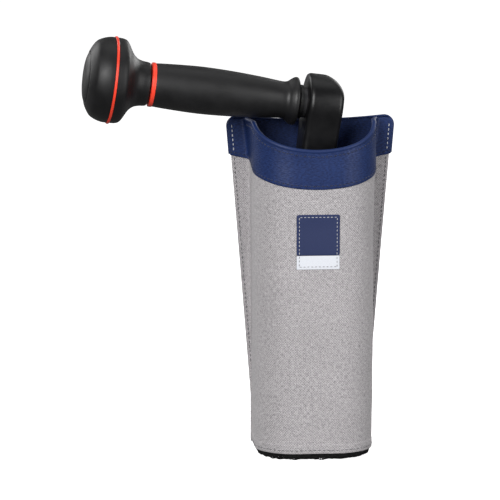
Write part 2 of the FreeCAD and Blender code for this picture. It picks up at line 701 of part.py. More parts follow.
doc.recompute()
for thing in doc.Objects:
    if {"Invalid", "Error"} & set(thing.State):
        raise RuntimeError(f"{thing.Name} failed: {thing.State}")
os.makedirs("parts", exist_ok=True)
for node in nodes:
    if node.Shape.isNull() or not node.Shape.isValid() or not node.Shape.Solids:
        raise RuntimeError(f"{node.Label} has no valid shape")
for node in nodes:
    node.Shape.exportStep(f"parts/{node.Label}.step")
print(len(nodes), "sub-parts written")
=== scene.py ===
"""A sailing winch handle standing in its fabric bag.

The frame holds the hard parts. This script makes the bag's cloth, stitching, label and net, the
handle's visible skins, the finishes, and a plain studio. Metres; the pouch faces -Y, Z up.
"""
import json
import math
import bmesh
import bpy
from mathutils import Matrix, Vector, noise


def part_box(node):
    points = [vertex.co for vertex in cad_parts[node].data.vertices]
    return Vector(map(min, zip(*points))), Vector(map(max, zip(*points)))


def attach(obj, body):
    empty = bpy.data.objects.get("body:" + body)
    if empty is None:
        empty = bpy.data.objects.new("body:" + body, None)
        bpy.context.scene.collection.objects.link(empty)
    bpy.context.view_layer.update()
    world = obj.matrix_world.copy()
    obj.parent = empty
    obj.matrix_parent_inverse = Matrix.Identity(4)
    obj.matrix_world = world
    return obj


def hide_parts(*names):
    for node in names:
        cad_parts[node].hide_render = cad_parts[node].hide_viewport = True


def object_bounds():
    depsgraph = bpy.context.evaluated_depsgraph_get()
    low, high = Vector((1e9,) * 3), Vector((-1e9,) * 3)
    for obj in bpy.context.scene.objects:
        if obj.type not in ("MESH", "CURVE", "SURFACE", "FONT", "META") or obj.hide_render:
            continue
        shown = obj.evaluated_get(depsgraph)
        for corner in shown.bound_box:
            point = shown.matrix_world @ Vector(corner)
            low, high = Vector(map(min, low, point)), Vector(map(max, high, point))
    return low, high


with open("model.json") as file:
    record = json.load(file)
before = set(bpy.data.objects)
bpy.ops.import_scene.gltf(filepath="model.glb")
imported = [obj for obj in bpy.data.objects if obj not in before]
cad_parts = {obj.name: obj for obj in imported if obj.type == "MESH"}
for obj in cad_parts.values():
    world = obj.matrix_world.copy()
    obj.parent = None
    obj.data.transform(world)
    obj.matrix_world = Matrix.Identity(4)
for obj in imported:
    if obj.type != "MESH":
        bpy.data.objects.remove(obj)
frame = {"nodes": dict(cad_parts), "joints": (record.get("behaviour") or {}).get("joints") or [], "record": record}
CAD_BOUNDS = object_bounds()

# ---------------------------------------------------------------- the bag's sizes, from the frame

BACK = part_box("back_panel")
BACK_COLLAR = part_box("back_collar")
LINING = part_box("front_lining")
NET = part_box("mesh_base")
TOP = BACK_COLLAR[1].z
HEM = BACK[0].z
SEAT = BACK[0].y                                   # front face of the flat back
CLOTH = 0.0012
FACING = 0.0008
COLLAR_OUT = CLOTH + FACING                        # the collar's outside, from the cloth's inner face
HEM_OUT = CLOTH + 0.0003                           # the hem is pressed nearly flush
POUCH_DEPTH = -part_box("front_panel")[0].y - CLOTH  # to the inside of the cloth
POUCH_HALF_TOP = LINING[1].x
POUCH_HALF_HEM = NET[1].x + 0.0001
BACK_HALF_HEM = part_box("bottom_hem")[1].x
SIDE_KINK = -0.092                                 # the back's sides run straight below this height
SIDE_SLOPE = (BACK[1].x - BACK_HALF_HEM) / (BACK[1].z - SIDE_KINK)
OVERHANG = {COLLAR_OUT: 0.0013}                    # a layer's margins pass the panel's edge by this
CORNER = 0.031                                     # the pouch's front corners, inside
FOLD = 0.003                                       # where the pouch turns out into its margins
TOP_ROUND = 0.008
TOP_DIP = 0.003
RIM_DEPTH = 0.0203                                 # how far the rim dips at the middle of the front
RIM_REACH = 0.063                                  # how far round the pouch the dip goes each way
FOOT_DEPTH = 0.0524                                # the collar's lower edge, at the middle
FOOT_CURVE = 3.44                                  # how fast that edge rises away from the middle
FOOT_STRAIGHT = 0.0353                             # where it goes on in a straight line
HEM_HEIGHT = 0.0075
SPLAY = 0.0037                                     # how far the walls' roots lean out at the top
SPLAY_LOW = 0.085                                  # the height where they start to lean out


def blend(a, b, share):
    """The value a share of the way from a to b."""
    return a + (b - a) * share


def back_half(z):
    """Half the back's width at a height: straight low down, then widening to the top."""
    return BACK_HALF_HEM + SIDE_SLOPE * max(0.0, z - SIDE_KINK)


BACK_HALF_TOP = back_half(TOP) + OVERHANG[COLLAR_OUT]


def pouch_half(z):
    """Half the pouch's width at a height, inside the cloth."""
    return blend(POUCH_HALF_HEM, POUCH_HALF_TOP, (z - HEM) / (TOP - HEM))


def unrolled(x, y):
    """How far a point of the pouch's section is from the middle of the front, along the cloth."""
    flat, wall_y = POUCH_HALF_TOP - CORNER, -(POUCH_DEPTH - CORNER)
    if abs(x) <= flat:
        return abs(x)
    if y < wall_y:
        return flat + CORNER * math.atan2(abs(x) - flat, wall_y - y)
    return flat + CORNER * math.pi / 2 + (y - wall_y) + max(0.0, abs(x) - POUCH_HALF_TOP)


def rim_height(x, y):
    """The pouch's rim: a round dip in the front, level along the side walls."""
    dip = 1 - (unrolled(x, y) / RIM_REACH)**2
    softened = (dip + math.sqrt(dip**2 + 0.005)) / 2
    return back_top(POUCH_HALF_TOP) - 0.0004 - RIM_DEPTH * softened


def collar_edge(x, y):
    """The collar's lower edge: round in front, then straight up to the margins."""
    away = unrolled(x, y)
    curved = min(away, FOOT_STRAIGHT)
    straight = 2 * FOOT_CURVE * FOOT_STRAIGHT * max(0.0, away - FOOT_STRAIGHT)
    return TOP - FOOT_DEPTH + FOOT_CURVE * curved**2 + straight


def back_top(x):
    """The back's top edge, dipping a little between two rounded corners."""
    straight = BACK_HALF_TOP - TOP_ROUND
    over = abs(x) - straight
    if over > 0:
        return TOP - TOP_ROUND + math.sqrt(max(0.0, TOP_ROUND**2 - over**2))
    return TOP - TOP_DIP * (1 - (x / straight)**2)


# ---------------------------------------------------------------- cloth shapes

FRONT_STEPS, CORNER_STEPS, WALL_STEPS, FOLD_STEPS, MARGIN_STEPS = 10, 20, 14, 6, 10


def half_section(z, out):
    """Half the pouch's section at one height, from the middle of the front to the margin's edge.
    `out` is how far outside the cloth's inner face it runs."""
    half, turn = pouch_half(z), CORNER + out
    flat, wall_y = half - CORNER, -(POUCH_DEPTH - CORNER)
    seat, edge = SEAT - out, back_half(z) + OVERHANG.get(out, 0.0)
    splay = SPLAY * max(0.0, (z - SPLAY_LOW) / (TOP - SPLAY_LOW))**1.5
    root = half + out + splay
    fold = min(FOLD, 0.45 * max(edge - root, 0.0001))
    line = [(flat * n / FRONT_STEPS, -(POUCH_DEPTH + out)) for n in range(FRONT_STEPS)]
    for n in range(CORNER_STEPS):
        angle = math.pi / 2 * n / CORNER_STEPS
        line.append((flat + turn * math.sin(angle), wall_y - turn * math.cos(angle)))
    for n in range(WALL_STEPS):
        share = n / WALL_STEPS
        line.append((half + out + splay * share**1.5, blend(wall_y, seat - fold, share)))
    for n in range(FOLD_STEPS):
        angle = math.pi / 2 * n / FOLD_STEPS
        line.append((root + fold * (1 - math.cos(angle)), seat - fold * (1 - math.sin(angle))))
    for n in range(MARGIN_STEPS + 1):
        line.append((blend(root + fold, edge, n / MARGIN_STEPS), seat))
    return line


WALL_END = FRONT_STEPS + CORNER_STEPS + WALL_STEPS


def section(z, out, last=None):
    """The whole section from left to right, with its margins or only as far as column `last`."""
    half = half_section(z, out)[:last]
    return [(-x, y) for x, y in reversed(half[1:])] + half


SWAY_FADE = 0.012                                   # how far out from the back the unevenness builds up
POUCH_MIDDLE = 0.027                                # the pouch's middle, in front of the back


def sway(point):
    """The cloth's own unevenness at a point: slow swells with a few soft creases."""
    slow = noise.noise(point * 16.0) * 0.0009
    quick = noise.noise(Vector((point.x * 30.0, point.y * 30.0, point.z * 75.0))) * 0.00035
    return slow + quick


def hung(point):
    """A point of the pouch with the cloth's unevenness, which fades out toward the flat margins."""
    away = min(1.0, max(0.0, -(point.y - SEAT) / SWAY_FADE))
    outward = Vector((point.x, point.y + POUCH_MIDDLE, 0.0)).normalized()
    return point + outward * sway(point) * away


def pouch_grid(out, low, high, rows, last=None):
    """Rows of points over the pouch, between two heights that may change across it."""
    columns = section(TOP, out, last)
    lows = [low(x, y) for x, y in columns]
    highs = [high(x, y) for x, y in columns]
    grid = []
    for row in range(rows + 1):
        points = []
        for column in range(len(columns)):
            z = blend(lows[column], highs[column], row / rows)
            x, y = section(z, out, last)[column]
            points.append(hung(Vector((x, y, z))))
        grid.append(points)
    return grid


def back_grid(y, low, high, rows, overhang=0.0, columns=56):
    """Rows of points over the flat back, from a height up to an edge that may change across it."""
    grid = []
    sines = [math.sin(math.pi * (n / columns - 0.5)) for n in range(columns + 1)]
    for row in range(rows + 1):
        points = []
        for sine in sines:
            across = 0.6 * sine + 0.4 * (2 * math.asin(sine) / math.pi)
            z = blend(low, high(across * BACK_HALF_TOP), row / rows)
            points.append(Vector((across * (back_half(z) + overhang), y, z)))
        grid.append(points)
    return grid


# ---------------------------------------------------------------- mesh helpers

def linked(name, mesh):
    """A new object in the scene."""
    made = bpy.data.objects.new(name, mesh)
    bpy.context.scene.collection.objects.link(made)
    return made


def finished(name, shape, finish, smooth=True):
    """An object from a bmesh, with its finish and smooth shading."""
    mesh = bpy.data.meshes.new(name)
    shape.normal_update()
    shape.to_mesh(mesh)
    shape.free()
    mesh.materials.append(finish)
    for face in mesh.polygons:
        face.use_smooth = smooth
    return linked(name, mesh)


def grid_object(name, grid, finish):
    """A sheet from rows of points, with a UV map in metres along the cloth."""
    shape = bmesh.new()
    uv = shape.loops.layers.uv.new("UVMap")
    verts = [[shape.verts.new(point) for point in row] for row in grid]
    middle = len(grid[0]) // 2
    along = []
    for row in grid:
        runs = [0.0]
        for a, b in zip(row, row[1:]):
            runs.append(runs[-1] + (b - a).length)
        along.append([run - runs[middle] for run in runs])
    for r in range(len(grid) - 1):
        for c in range(len(grid[0]) - 1):
            corners = ((r, c), (r, c + 1), (r + 1, c + 1), (r + 1, c))
            face = shape.faces.new([verts[i][j] for i, j in corners])
            for loop, (i, j) in zip(face.loops, corners):
                loop[uv].uv = (along[i][j], grid[i][j].z)
    return finished(name, shape, finish)


def thicken(piece, thickness, offset=-1.0):
    """Give a sheet its thickness, on the side that `offset` says."""
    solid = piece.modifiers.new("Thickness", "SOLIDIFY")
    solid.thickness, solid.offset = thickness, offset
    solid.use_even_offset = True
    return piece


def subdivide(piece):
    """Smooth a piece by one step of subdivision."""
    smooth = piece.modifiers.new("Smooth", "SUBSURF")
    smooth.levels = smooth.render_levels = 1
    return piece


def cloth(name, grid, finish, thickness, replaced, offset=-1.0, going=None):
    """A sewn cloth piece of the bag. `going` is not used."""
    piece = subdivide(thicken(grid_object(name, grid, finish), thickness, offset))
    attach(piece, "bag")
    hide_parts(*replaced)
    return piece


def swept(name, path, ups, half_wide, half_high, finish):
    """A soft flat tube along a path; `ups` point across its height."""
    shape = bmesh.new()
    sides = 14
    rings = []
    for index, point in enumerate(path):
        before, after = path[max(index - 1, 0)], path[min(index + 1, len(path) - 1)]
        tangent = (after - before).normalized()
        up = (ups[index] - tangent * ups[index].dot(tangent)).normalized()
        across = tangent.cross(up)
        ring = []
        for n in range(sides):
            angle = 2 * math.pi * n / sides
            c, s = math.cos(angle), math.sin(angle)
            c, s = math.copysign(abs(c)**0.7, c), math.copysign(abs(s)**0.7, s)
            ring.append(shape.verts.new(point + across * (half_wide * c) + up * (half_high * s)))
        rings.append(ring)
    for a, b in zip(rings, rings[1:]):
        for n in range(sides):
            shape.faces.new((a[n], a[(n + 1) % sides], b[(n + 1) % sides], b[n]))
    shape.faces.new(list(reversed(rings[0])))
    shape.faces.new(rings[-1])
    bmesh.ops.recalc_face_normals(shape, faces=shape.faces)
    return finished(name, shape, finish)


def walk(path, pitch, start=0.0):
    """Places at even steps along a path of (point, normal), with the path's direction there."""
    places, run, target = [], 0.0, start
    for (a, normal_a), (b, normal_b) in zip(path, path[1:]):
        length = (b - a).length
        while length > 0 and target <= run + length:
            share = (target - run) / length
            places.append((a.lerp(b, share), normal_a.lerp(normal_b, share).normalized(), (b - a) / length))
            target += pitch
        run += length
    return places


def stitches(name, paths, finish, pitch=0.0036, length=0.0024, radius=0.00034):
    """Rows of thread stitches lying on the cloth."""
    shape = bmesh.new()
    for path in paths:
        for point, normal, along in walk(path, pitch, pitch / 2):
            across = normal.cross(along).normalized()
            turn = Matrix((along, across, normal)).transposed().to_4x4()
            size = Matrix.Diagonal((length / 2, radius, radius, 1.0))
            place = Matrix.Translation(point + normal * radius * 0.35) @ turn @ size
            bmesh.ops.create_uvsphere(shape, u_segments=8, v_segments=6, radius=1.0, matrix=place)
    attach(finished(name, shape, finish), "bag")


# ---------------------------------------------------------------- finishes

class Finish:
    """A material built from nodes around one Principled shader."""

    def __init__(self, name, color, roughness, **sockets):
        self.made = bpy.data.materials.new(name)
        self.made.use_nodes = True
        self.tree = self.made.node_tree
        self.shader = self.tree.nodes["Principled BSDF"]
        self.shader.inputs["Base Color"].default_value = (*color, 1.0)
        self.shader.inputs["Roughness"].default_value = roughness
        for socket, value in sockets.items():
            self.shader.inputs[socket.replace("_", " ")].default_value = value

    def add(self, kind, inputs=(), **settings):
        node = self.tree.nodes.new("ShaderNode" + kind)
        for key, value in settings.items():
            setattr(node, key, value)
        for socket, value in dict(inputs).items():
            if isinstance(value, bpy.types.NodeSocket):
                self.tree.links.new(value, node.inputs[socket])
            else:
                node.inputs[socket].default_value = value
        return node

    def place(self, scale=1.0, turn=0.0, source="UV"):
        """Coordinates scaled so that one unit is one repeat, turned about Z."""
        where = self.add("TexCoord").outputs[source]
        sizes = scale if isinstance(scale, tuple) else (scale, scale, scale)
        node = self.add("Mapping", {"Vector": where, "Rotation": (0, 0, turn), "Scale": sizes})
        return node.outputs["Vector"]

    def math(self, operation, a, b=0.0):
        return self.add("Math", {0: a, 1: b}, operation=operation).outputs[0]

    def noise(self, where, scale, detail=3.0, roughness=0.55):
        return self.add("TexNoise", {"Vector": where, "Scale": scale, "Detail": detail,
                                     "Roughness": roughness}).outputs["Fac"]

    def ramp(self, value, low, high, dark, light):
        node = self.add("MapRange", {"Value": value, "From Min": low, "From Max": high,
                                     "To Min": dark, "To Max": light})
        return node.outputs["Result"]

    def tint(self, value, dark, light):
        node = self.add("Mix", {"Factor": value}, data_type="RGBA")
        node.inputs[6].default_value, node.inputs[7].default_value = (*dark, 1.0), (*light, 1.0)
        return node.outputs[2]

    def threads(self, where):
        """Raised crossings of a plain weave, 0 to 1, on coordinates of one thread a unit."""
        split = self.add("SeparateXYZ", {0: where})
        waves = [self.math("SINE", self.math("MULTIPLY", split.outputs[n], math.pi)) for n in (0, 1)]
        return self.math("MULTIPLY_ADD", self.math("MULTIPLY", *waves), 0.5)

    def bump(self, height, distance, strength=1.0):
        node = self.add("Bump", {"Height": height, "Distance": distance, "Strength": strength})
        self.tree.links.new(node.outputs["Normal"], self.shader.inputs["Normal"])

    def drive(self, socket, value):
        self.tree.links.new(value, self.shader.inputs[socket])


def woven(name, color, spread, thread, roughness, sheen, depth=0.00012):
    """A heathered plain weave whose threads vary one by one, with painted shade in the hollows between the
    threads' crossings.
    """
    made = Finish(name, color, roughness, Sheen_Weight=sheen, Sheen_Roughness=0.6)
    weave = made.threads(made.place(1.0 / thread))
    warp = made.noise(made.place((1.0 / thread, 0.3 / thread, 1.0)), 1.1, 2.0)
    weft = made.noise(made.place((0.3 / thread, 1.0 / thread, 1.0)), 1.1, 2.0)
    fleck = made.noise(made.place(1.0 / thread), 1.7, 2.0, 0.7)
    cloud = made.noise(made.place(28.0), 1.0, 4.0)
    mixed = made.math("ADD", made.math("MULTIPLY", warp, 0.26), made.math("MULTIPLY", weft, 0.26))
    mixed = made.math("ADD", mixed, made.math("MULTIPLY", fleck, 0.3))
    mixed = made.math("ADD", mixed, made.math("MULTIPLY", cloud, 0.04))
    # The raised crossings are painted lighter and the hollows between them darker: painted shade in the weave.
    mixed = made.math("ADD", mixed, made.math("MULTIPLY", weave, 0.16))
    dark = tuple(c * (1 - spread) for c in color)
    light = tuple(min(1.0, c * (1 + spread)) for c in color)
    made.drive("Base Color", made.tint(made.ramp(mixed, 0.38, 0.64, 0.0, 1.0), dark, light))
    made.bump(made.math("ADD", weave, fleck), depth, 0.7)
    return made.made


def vinyl():
    """Coated cloth with a fine slanting emboss and a dull shine."""
    made = Finish("blue_vinyl", (0.012, 0.027, 0.1), 0.48, Specular_IOR_Level=0.28)
    rows = made.noise(made.place((420.0, 1300.0, 1.0), math.radians(-38)), 1.0, 2.0)
    grain = made.noise(made.place(1500.0), 1.0, 2.0)
    cloud = made.noise(made.place(30.0), 1.0, 4.0)
    mixed = made.math("ADD", made.math("MULTIPLY", rows, 0.65), made.math("MULTIPLY", grain, 0.2))
    mixed = made.math("ADD", mixed, made.math("MULTIPLY", cloud, 0.15))
    made.drive("Base Color", made.tint(made.ramp(mixed, 0.4, 0.6, 0.0, 1.0),
                                       (0.003, 0.011, 0.055), (0.015, 0.035, 0.13)))
    made.drive("Roughness", made.ramp(mixed, 0.4, 0.6, 0.58, 0.4))
    made.bump(mixed, 0.0004, 0.8)
    return made.made


def moulded(name, color, roughness, grain=2200.0, depth=0.00006, spread=0.08, **sockets):
    """A moulded surface with a fine grain and slightly uneven shine."""
    made = Finish(name, color, roughness, **sockets)
    fine = made.noise(made.place(1.0, source="Object"), grain, 2.0)
    cloud = made.noise(made.place(1.0, source="Object"), 70.0, 4.0)
    made.drive("Roughness", made.ramp(cloud, 0.3, 0.7, roughness - spread, roughness + spread))
    light = tuple(min(1.0, 1.35 * c + 0.0008) for c in color)
    made.drive("Base Color", made.tint(made.ramp(cloud, 0.35, 0.75, 0.0, 1.0), color, light))
    made.bump(fine, depth, 0.6)
    return made.made


def steel(name="bright_metal"):
    """Brushed stainless."""
    made = Finish(name, (0.6, 0.6, 0.62), 0.3, Metallic=1.0)
    brushed = made.noise(made.place((60.0, 900.0, 900.0), source="Object"), 1.0, 3.0)
    made.drive("Roughness", made.ramp(brushed, 0.3, 0.7, 0.22, 0.4))
    made.drive("Base Color", made.tint(brushed, (0.48, 0.48, 0.5), (0.68, 0.68, 0.7)))
    made.bump(brushed, 0.00002, 0.5)
    return made.made


def thread(name, color, sheen=0.3):
    made = Finish(name, color, 0.6, Sheen_Weight=sheen, Specular_IOR_Level=0.3)
    twist = made.noise(made.place(1.0, source="Object"), 3000.0, 2.0)
    dark = tuple(0.75 * c for c in color)
    made.drive("Base Color", made.tint(twist, dark, color))
    return made.made


GREY = woven("grey_cloth", (0.36, 0.343, 0.352), 0.62, 0.0010, 0.85, 0.12)
BLUE = vinyl()
LABEL_BLUE = woven("label_blue", (0.01, 0.02, 0.08), 0.25, 0.0004, 0.7, 0.0, 0.00006)
LABEL_WHITE = woven("label_white", (0.66, 0.68, 0.73), 0.1, 0.0004, 0.7, 0.0, 0.00006)
NET_BLACK = thread("black_mesh", (0.004, 0.004, 0.0045), 0.0)
THREAD_WHITE = thread("thread_white", (0.62, 0.63, 0.66))
THREAD_GREY = thread("thread_grey", (0.1, 0.1, 0.11))
THREAD_NAVY = thread("thread_navy", (0.006, 0.012, 0.05))
RUBBER = moulded("grip_rubber", (0.0045, 0.0045, 0.005), 0.46, Specular_IOR_Level=0.42)
KNOB = moulded("knob_plastic", (0.0045, 0.0045, 0.005), 0.46, Specular_IOR_Level=0.36)
ALLOY = moulded("black_alloy", (0.0035, 0.0035, 0.004), 0.36, grain=3500.0, depth=0.00004,
                Specular_IOR_Level=0.34)
RED = moulded("red_plastic", (0.74, 0.045, 0.02), 0.38, grain=1200.0, depth=0.00002)
NYLON = moulded("white_nylon", (0.7, 0.7, 0.66), 0.5)
PLASTIC = moulded("black_plastic", (0.012, 0.012, 0.013), 0.5)
# Near-black steel for the spindle is painted shade: it darkens the shadowed gap between the grip and the arm,
# where a bare steel spindle would show bright.
SHADE_DARK_STEEL = moulded("dark_steel", (0.03, 0.03, 0.032), 0.4, grain=1800.0, depth=0.00002)
STEEL = steel()
CAD_FINISHES = {"grey_cloth": GREY, "blue_vinyl": BLUE, "label_blue": LABEL_BLUE,
                "label_white": LABEL_WHITE, "black_mesh": NET_BLACK, "bright_metal": STEEL,
                "black_alloy": ALLOY, "dark_steel": SHADE_DARK_STEEL, "white_nylon": NYLON,
                "black_plastic": PLASTIC, "grip_rubber": RUBBER, "knob_plastic": KNOB, "red_plastic": RED}


def paint_frame():
    """Give every carried-over part the finish of its material slot."""
    for entry in frame["record"]["subparts"]:
        mesh = frame["nodes"][entry["node"]].data
        mesh.materials.clear()
        mesh.materials.append(CAD_FINISHES[entry["material_slot"]])


# ---------------------------------------------------------------- the bag

COLLAR_LAP = 0.006                                  # how far the grey cloth runs up under the collar
COLLAR_FOOT = collar_edge(BACK_HALF_TOP, SEAT)      # the collar's lower edge at its margins and behind
HEM_THICKNESS = 0.0007
EYELET_HOLE = 0.0046                                # radius cut through the back for each eyelet
RIM_ROLL_HALF_WIDE, RIM_ROLL_HALF_HIGH = 0.0018, 0.0016
SEAM_INSET = 0.0023                                 # the side seams, in from the back's edges
RIM_SEAM_DROP = 0.0048                              # the seam below the rim
FOOT_SEAM_RISE = 0.0028                             # the seams above the collar's and the hem's edges
SEAM_TOP = TOP - 0.006                              # where the side seams end


def pouch_top(x, y):
    """The height of the pouch's top edge: its rim, and on the margins no higher than the back."""
    return min(rim_height(x, y), back_top(x)) if abs(x) > POUCH_HALF_TOP else rim_height(x, y)


def make_front():
    """The pouch's grey cloth, from the hem to a little way under the collar."""
    grid = pouch_grid(CLOTH, lambda x, y: HEM, lambda x, y: collar_edge(x, y) + COLLAR_LAP, 84)
    cloth("bag_front", grid, GREY, CLOTH, ["front_panel"], going=[make_hem()])


def make_collar():
    """The collar's outside, with its margins, and the lining of its inside."""
    grid = pouch_grid(COLLAR_OUT, collar_edge, pouch_top, 16)
    cloth("collar_front", grid, BLUE, FACING, ["front_collar"], going=[])
    inner = pouch_grid(0.0, collar_edge, pouch_top, 12, WALL_END)
    cloth("collar_lining", inner, BLUE, FACING, ["front_lining"], 1.0, [])


def make_back():
    """The flat back and its collar, with the eyelets' holes cut through."""
    grid = [list(reversed(row)) for row in back_grid(0.0, HEM, lambda x: COLLAR_FOOT, 60)]
    panel = cloth("bag_back", grid, GREY, -SEAT, ["back_panel"], going=[])
    grid = back_grid(0.0, COLLAR_FOOT, back_top, 20, OVERHANG[COLLAR_OUT])
    grid = [list(reversed(row)) for row in grid]
    cloth("collar_back", grid, BLUE, -SEAT, ["back_collar"], going=[])
    for place in EYELETS:
        hole = panel.modifiers.new("Hole", "BOOLEAN")
        hole.object, hole.operation, hole.solver = punch(place), "DIFFERENCE", "EXACT"


def punch(place):
    """A hidden cutter for one eyelet's hole."""
    shape = bmesh.new()
    turn = Matrix.Rotation(math.pi / 2, 4, "X")
    bmesh.ops.create_cone(shape, cap_ends=True, segments=32, radius1=EYELET_HOLE, radius2=EYELET_HOLE,
                          depth=0.02, matrix=Matrix.Translation(place) @ turn)
    cutter = finished("punch", shape, GREY)
    cutter.hide_render = cutter.hide_viewport = True
    return cutter


def eyelet_places():
    """The eyelets' centres, from the record's bolt pattern."""
    mount = next(m for m in frame["record"]["mounts"] if m["name"] == "fixing_eyelets")
    half_x = mount["dims"]["spacing_x_mm"] / 2000
    half_z = mount["dims"]["spacing_y_mm"] / 2000
    return [Vector(mount["pos_m"]) + Vector((x * half_x, 0, z * half_z)) for x in (-1, 1) for z in (-1, 1)]


EYELETS = eyelet_places()


def make_rim():
    """The rolled lip along the pouch's rim, where collar and lining turn over."""
    spots = section(TOP, CLOTH / 2, WALL_END + 2)
    path = [hung(Vector((x, y, pouch_top(x, y) - 0.0009))) for x, y in spots]
    roll = swept("rim_roll", path, [Vector((0, 0, 1))] * len(path),
                 RIM_ROLL_HALF_WIDE, RIM_ROLL_HALF_HIGH, BLUE)
    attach(roll, "bag")
    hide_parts("rim_binding")


def collar_outline(foot, steps=14, columns=60):
    """The collar's outer edge up one side, over the top and down the other, with outward normals."""
    middle = (SEAT - COLLAR_OUT) / 2
    proud = OVERHANG[COLLAR_OUT]
    side = []
    for n in range(steps):
        z = blend(foot, TOP - TOP_ROUND, n / steps)
        side.append(Vector((back_half(z) + proud, middle, z)))
    over = []
    for n in range(columns + 1):
        across = math.sin(math.pi * (0.5 - n / columns))
        z = back_top(across * BACK_HALF_TOP)
        over.append(Vector((across * (back_half(z) + proud), middle, z)))
    path = side + over + [Vector((-p.x, p.y, p.z)) for p in reversed(side)]
    normals = []
    for index in range(len(path)):
        ahead = path[min(index + 1, len(path) - 1)] - path[max(index - 1, 0)]
        normals.append(Vector((ahead.z, 0.0, -ahead.x)).normalized())
    return path, normals


def make_collar_edge():
    """The turned edge that closes the collar's margins and the back's top."""
    path, normals = collar_outline(COLLAR_FOOT + 0.0004)
    edge = swept("collar_edge_fold", path, normals, -(SEAT - COLLAR_OUT) / 2, 0.0007, BLUE)
    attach(edge, "bag")


def make_hem():
    """The turned strip along the pouch's foot."""
    grid = pouch_grid(HEM_OUT, lambda x, y: HEM, lambda x, y: HEM + HEM_HEIGHT, 6)
    return cloth("hem_band", grid, GREY, HEM_THICKNESS, ["bottom_hem"])


def outside_path(points):
    """A path of (point, outward normal) over the pouch, from points on its outside."""
    path = []
    for index, point in enumerate(points):
        before, after = points[max(index - 1, 0)], points[min(index + 1, len(points) - 1)]
        tangent = after - before
        normal = tangent.cross(Vector((0, 0, 1))).normalized()
        path.append((point, normal))
    return path


def around(out, height, last=None):
    """A stitch line round the pouch at a height that may change across it."""
    points = []
    for index, (x, y) in enumerate(section(TOP, out, last)):
        z = height(x, y)
        x, y = section(z, out, last)[index]
        points.append(hung(Vector((x, y, z))))
    return outside_path(points)


def margin_lines(out, low, high, inset, steps=60):
    """Two lines down the margins, inset from their outer edges."""
    lines = []
    for side in (-1, 1):
        points = []
        for n in range(steps + 1):
            z = blend(high, low, n / steps)
            points.append((Vector((side * (back_half(z) - inset), SEAT - out, z)), Vector((0, -1, 0))))
        lines.append(points)
    return lines


def back_lines(low, high, inset, steps=60):
    """The same two lines on the outside of the back."""
    return [[(Vector((p.x, 0.0, p.z)), Vector((0, 1, 0))) for p, _ in line]
            for line in margin_lines(0.0, low, high, inset, steps)]


def make_stitches():
    """The seams: down the sides, under the rim, and above the collar's and the hem's lower edges."""
    seam_foot = HEM + 0.002
    stitches("stitches_collar_margin",
             margin_lines(COLLAR_OUT, COLLAR_FOOT + 0.001, SEAM_TOP, SEAM_INSET),
             THREAD_WHITE, length=0.0023, radius=0.00046)
    stitches("stitches_margin", margin_lines(CLOTH, seam_foot, COLLAR_FOOT - 0.002, SEAM_INSET),
             THREAD_GREY, radius=0.0004)
    stitches("stitches_back", back_lines(seam_foot, SEAM_TOP, SEAM_INSET), THREAD_GREY)
    stitches("stitches_rim", [around(COLLAR_OUT, lambda x, y: pouch_top(x, y) - RIM_SEAM_DROP, WALL_END)],
             THREAD_NAVY, pitch=0.0034, radius=0.0004)
    stitches("stitches_collar_foot",
             [around(COLLAR_OUT, lambda x, y: collar_edge(x, y) + FOOT_SEAM_RISE)],
             THREAD_NAVY, pitch=0.0034, radius=0.0004)
    stitches("stitches_hem", [around(HEM_OUT, lambda x, y: HEM + FOOT_SEAM_RISE)],
             THREAD_GREY, radius=0.0003)


def make_label():
    """A woven two-colour patch with a stitched border."""
    upper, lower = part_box("label_patch_upper"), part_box("label_patch_lower")
    front, proud = -(POUCH_DEPTH + CLOTH), Vector((0, -0.0006, 0))

    def patch(name, low, high, finish, node, slot_name):
        columns, rows = 16, 12
        grid = []
        for r in range(rows + 1):
            z = blend(low.z, high.z, r / rows)
            row = []
            for c in range(columns + 1):
                x = blend(low.x, high.x, c / columns)
                row.append(hung(Vector((x, front, z))) + proud)
            grid.append(row)
        return cloth(name, grid, finish, 0.0005, [node], going=[])

    patch("label_upper", *upper, LABEL_BLUE, "label_patch_upper", "label_blue")
    patch("label_lower", *lower, LABEL_WHITE, "label_patch_lower", "label_white")
    inset = 0.0022

    def border(low_z, high_z, close_top, close_foot):
        left, right = upper[0].x + inset, upper[1].x - inset
        corners = [Vector((left, 0, low_z)), Vector((left, 0, high_z)), Vector((right, 0, high_z)),
                   Vector((right, 0, low_z)), Vector((left, 0, low_z))]
        runs = [(0, 1, True), (1, 2, close_top), (2, 3, True), (3, 4, close_foot)]
        lines = []
        for a, b, wanted in runs:
            if wanted:
                points = [corners[a].lerp(corners[b], n / 12) for n in range(13)]
                lines.append([(hung(Vector((p.x, front, p.z))) + proud, Vector((0, -1, 0)))
                              for p in points])
        return lines

    stitches("stitches_label_upper", border(upper[0].z + 0.0004, upper[1].z - inset, True, False),
             THREAD_WHITE, 0.0030, 0.0019, 0.00024)
    stitches("stitches_label_lower", border(lower[0].z + inset, lower[1].z - 0.0004, False, True),
             THREAD_GREY, 0.0030, 0.0019, 0.00024)


def base_loop(inset):
    """The base's D-shaped outline as a path of (point, outward normal)."""
    half, depth, turn = POUCH_HALF_HEM - inset, POUCH_DEPTH - inset, CORNER - inset
    points = [(-half, SEAT), (-half, -(depth - turn))]
    for n in range(1, 25):
        angle = math.pi / 2 * n / 24
        points.append((-(half - turn) - turn * math.cos(angle), -(depth - turn) - turn * math.sin(angle)))
    points += [(-x, y) for x, y in reversed(points)]
    points.append(points[0])
    return outside_path([Vector((x, y, 0)) for x, y in points])


def in_base(x, y, inset):
    """Whether a point lies inside the base's D-shaped outline."""
    half = POUCH_HALF_HEM - inset
    if not (abs(x) < half and -(POUCH_DEPTH - inset) < y < SEAT - inset):
        return False
    corner_x, corner_y = abs(x) - (POUCH_HALF_HEM - CORNER), -(POUCH_DEPTH - CORNER) - y
    return corner_x < 0 or corner_y < 0 or math.hypot(corner_x, corner_y) < CORNER - inset


